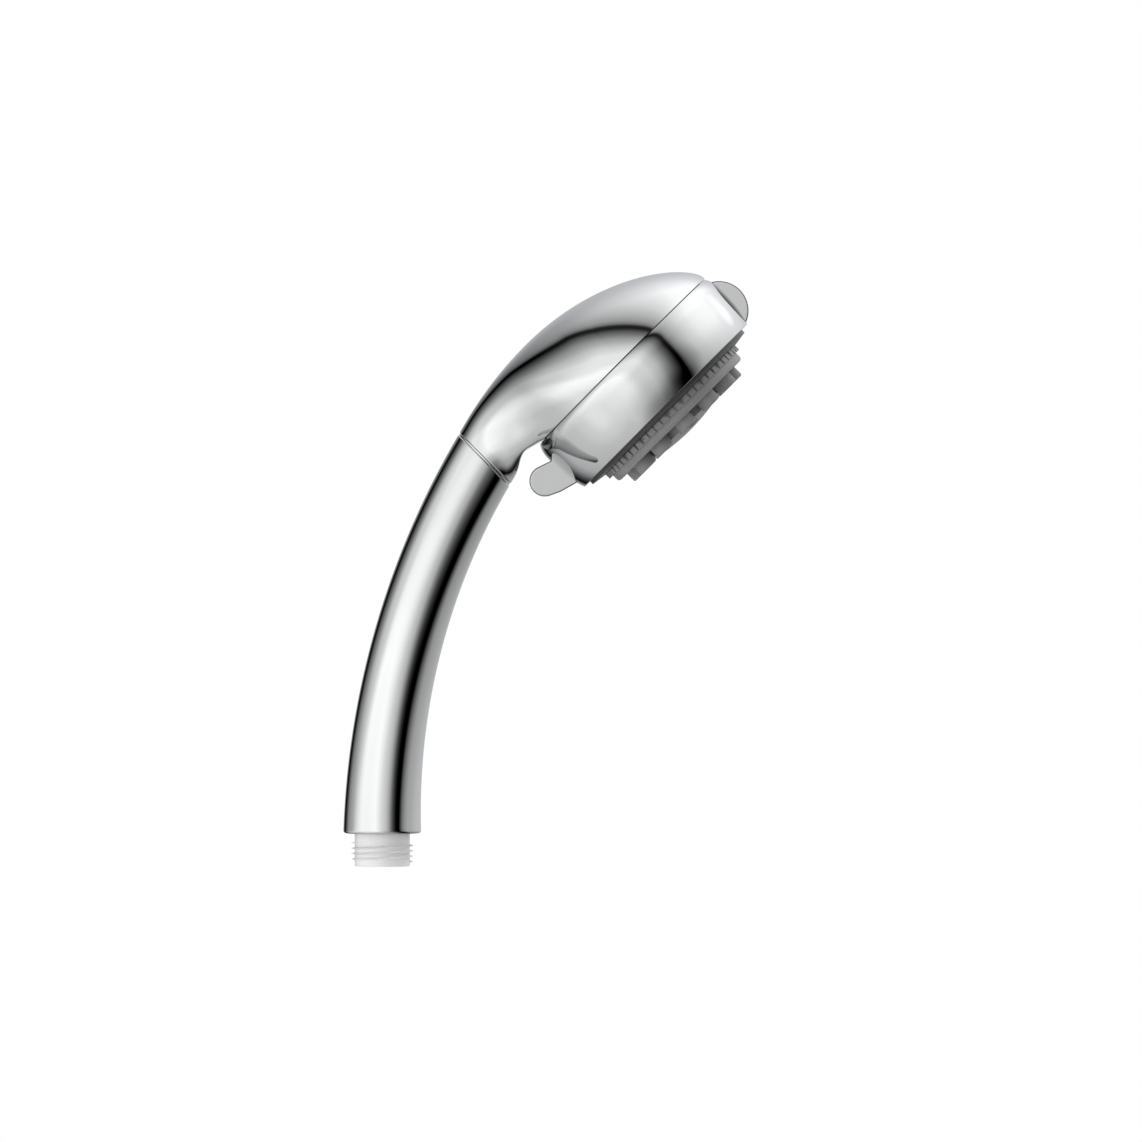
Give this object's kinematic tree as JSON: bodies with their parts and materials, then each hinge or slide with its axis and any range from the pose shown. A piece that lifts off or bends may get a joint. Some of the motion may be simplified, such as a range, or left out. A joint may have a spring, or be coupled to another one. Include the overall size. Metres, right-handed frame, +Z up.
{
  "type": "handheld shower head",
  "caption": "Handheld shower head with a curved chrome handle, a domed back and a spray face that a thumb lever turns between spray patterns.",
  "frame": {"origin": "centre of the inlet's lower end face, where the hose's washer seals", "axes": "+Z up along the inlet's axis into the handle, +X towards the side that the spray face looks to, +Y completes a right-handed frame; the object is laid out about the XZ plane"},
  "size_m": [0.1367, 0.0816, 0.2005],
  "materials": {
    "chrome": "mirror chrome plating on ABS",
    "white_plastic": "glossy moulded acetal",
    "face_dark": "dark satin plastic",
    "face_grey": "grey satin plastic",
    "nozzle_rubber": "soft grey silicone",
    "seal_rubber": "matt black rubber",
    "inner_plastic": "plain moulded plastic",
    "steel": "bright stainless steel",
    "brass": "turned brass"
  },
  "bodies": {
    "handset": {"handle_sleeve": "chrome", "neck_ring": "chrome", "inlet_nipple": "white_plastic", "inlet_filter": "steel", "flow_regulator": "inner_plastic", "check_valve_cage": "inner_plastic", "check_valve_seal": "seal_rubber", "check_valve_spring": "steel", "water_tube": "inner_plastic", "tube_inlet_seal": "seal_rubber", "tube_outlet_seal": "seal_rubber", "back_cover": "chrome", "chassis": "inner_plastic", "chassis_screws": "steel", "spindle": "brass", "spindle_seal": "seal_rubber", "retaining_washer": "steel", "retaining_screw": "steel", "port_seal": "seal_rubber", "port_spring": "steel", "click_spring": "steel"},
    "check_valve": {"check_valve_poppet": "white_plastic"},
    "selector": {"distributor_disc": "inner_plastic", "chamber_gasket": "seal_rubber", "selector_ring": "chrome", "thumb_lever": "chrome", "counter_grip": "chrome", "face_plate": "face_dark", "face_screws": "steel", "jet_disc": "face_grey", "turret_nozzles": "nozzle_rubber", "swirl_plate": "inner_plastic", "turbine_pin": "steel", "centre_dome": "face_grey"},
    "turbine": {"massage_turbine": "white_plastic"}
  },
  "joints": [
    {"name": "selector_turn", "type": "hinge", "parent": "handset", "child": "selector", "pos_m": [0.08097, 0, 0.17018], "axis": [0.7071, 0, -0.7071], "range_deg": [-30, 30], "deforming": ["click_spring"]},
    {"name": "turbine_spin", "type": "hinge", "parent": "selector", "child": "turbine", "pos_m": [0.08097, 0, 0.17018], "axis": [0.7071, 0, -0.7071], "continuous": true},
    {"name": "check_valve_lift", "type": "slide", "parent": "handset", "child": "check_valve", "axis": [0, 0, 1], "range_m": [0, 0.0022], "stiffness_N_per_m": 60, "springref_m": -0.004, "deforming": ["check_valve_spring"]}
  ]
}
